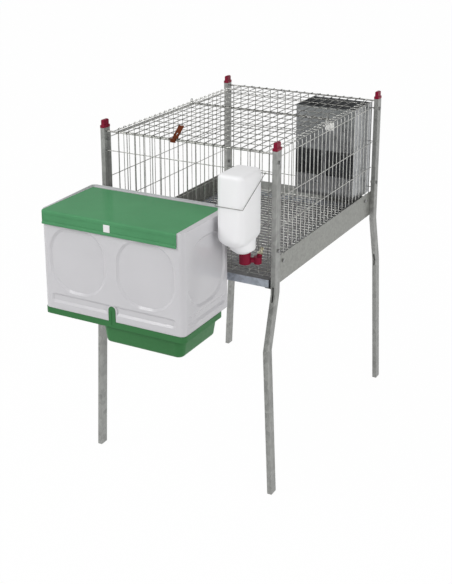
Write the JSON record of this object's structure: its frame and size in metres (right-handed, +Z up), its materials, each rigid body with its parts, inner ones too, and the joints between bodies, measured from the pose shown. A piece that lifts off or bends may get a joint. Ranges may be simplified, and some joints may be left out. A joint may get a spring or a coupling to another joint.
{
  "type": "rabbit cage",
  "caption": "Wire rabbit cage on cranked tube legs, with a hinged wire roof, pull-out droppings tray, hung nest box with hinged lid, feed hopper and clip-on water bottle.",
  "frame": {"origin": "centre of the bounding box on the floor", "axes": "+X to the cage's right as seen from the nest box, +Y from the nest box to the feed hopper, +Z up"},
  "size_m": [0.64, 1.1586, 1.0921],
  "materials": {
    "galvanised_tube": "galvanised, faint spangle",
    "crimson_plastic": "moulded, satin gloss",
    "black_plastic": "moulded",
    "rail_sheet": "galvanised sheet with spangle",
    "tray_sheet": "galvanised sheet, folded",
    "galvanised_wire": "dull galvanised wire",
    "bolt_steel": "zinc plated",
    "latch_brown": "brown coated strip",
    "tag_white": "blank, matte",
    "feeder_sheet": "galvanised sheet, folded",
    "nest_grey": "fine moulded grain",
    "lid_green": "fine moulded grain",
    "base_green": "fine moulded grain",
    "catch_white": "moulded",
    "bottle_white": "blow-moulded, satin",
    "seal_rubber": "matte",
    "nipple_brass": "turned"
  },
  "bodies": {
    "frame": {"leg_front_left": "galvanised_tube", "leg_front_right": "galvanised_tube", "leg_rear_left": "galvanised_tube", "leg_rear_right": "galvanised_tube", "cap_front_left": "crimson_plastic", "cap_front_right": "crimson_plastic", "cap_rear_left": "crimson_plastic", "cap_rear_right": "crimson_plastic", "foot_plugs": "black_plastic", "rail_left": "rail_sheet", "rail_right": "rail_sheet", "ledge_left": "rail_sheet", "ledge_right": "rail_sheet", "rear_ledge": "rail_sheet", "floor_grid": "galvanised_wire", "side_wall_left": "galvanised_wire", "side_wall_right": "galvanised_wire", "front_wall": "galvanised_wire", "rear_wall": "galvanised_wire", "front_top_bar": "galvanised_wire", "rear_top_bar": "galvanised_wire", "roof_cross_bar": "galvanised_wire", "cross_bar_clips": "galvanised_wire", "post_bolts": "bolt_steel", "post_nuts": "bolt_steel", "rail_bolts": "bolt_steel", "rail_nuts": "bolt_steel", "corner_bolts": "bolt_steel", "corner_nuts": "bolt_steel", "nest_hooks": "bolt_steel", "nest_lid_pin": "bolt_steel", "tag_plate": "tag_white", "feeder_body": "feeder_sheet", "feeder_baffle": "feeder_sheet", "feeder_hooks": "feeder_sheet", "nest_body": "nest_grey"},
    "tray": {"tray": "tray_sheet"},
    "front_roof": {"roof_front_panel": "galvanised_wire", "front_hinge_straps": "bolt_steel"},
    "latch": {"roof_latch": "latch_brown"},
    "rear_roof": {"roof_rear_panel": "galvanised_wire", "rear_hinge_straps": "bolt_steel"},
    "nest_lid": {"nest_lid": "lid_green", "nest_lid_catch": "catch_white"},
    "nest_base": {"nest_base": "base_green"},
    "bottle": {"bottle_body": "bottle_white", "bottle_cap": "crimson_plastic", "bottle_seal": "seal_rubber", "bottle_elbow": "crimson_plastic", "nipple_body": "nipple_brass"},
    "nipple_pin": {"nipple_pin": "bolt_steel"},
    "bail": {"bottle_bail": "galvanised_wire"}
  },
  "joints": [
    {"name": "tray_slide", "type": "slide", "parent": "frame", "child": "tray", "axis": [0, 1, 0], "range_m": [0, 0.6]},
    {"name": "front_roof_hinge", "type": "hinge", "parent": "frame", "child": "front_roof", "pos_m": [0, 0.1823, 1.057], "axis": [-1, 0, 0], "range_deg": [0, 108]},
    {"name": "latch_hinge", "type": "hinge", "parent": "front_roof", "child": "latch", "pos_m": [-0.045, -0.2687, 1.05855], "axis": [-1, 0, 0], "range_deg": [0, 28]},
    {"name": "rear_roof_hinge", "type": "hinge", "parent": "frame", "child": "rear_roof", "pos_m": [0, 0.5223, 1.057], "axis": [-1, 0, 0], "range_deg": [0, 170]},
    {"name": "nest_lid_hinge", "type": "hinge", "parent": "frame", "child": "nest_lid", "pos_m": [-0.086, -0.3228, 0.8815], "axis": [-1, 0, 0], "range_deg": [0, 92]},
    {"name": "nest_base_drop", "type": "slide", "parent": "frame", "child": "nest_base", "axis": [0, -0.2709, -0.9626], "range_m": [0, 0.1]},
    {"name": "bottle_lift", "type": "slide", "parent": "frame", "child": "bottle", "axis": [0, 0, 1], "range_m": [0, 0.09]},
    {"name": "nipple_push", "type": "slide", "parent": "bottle", "child": "nipple_pin", "axis": [0, -0.7071, -0.7071], "range_m": [0, 0.0015], "stiffness_N_per_m": 300},
    {"name": "bail_hinge", "type": "hinge", "parent": "frame", "child": "bail", "pos_m": [0.2155, -0.28015, 0.9972], "axis": [-1, 0, 0], "range_deg": [0, 105]}
  ]
}
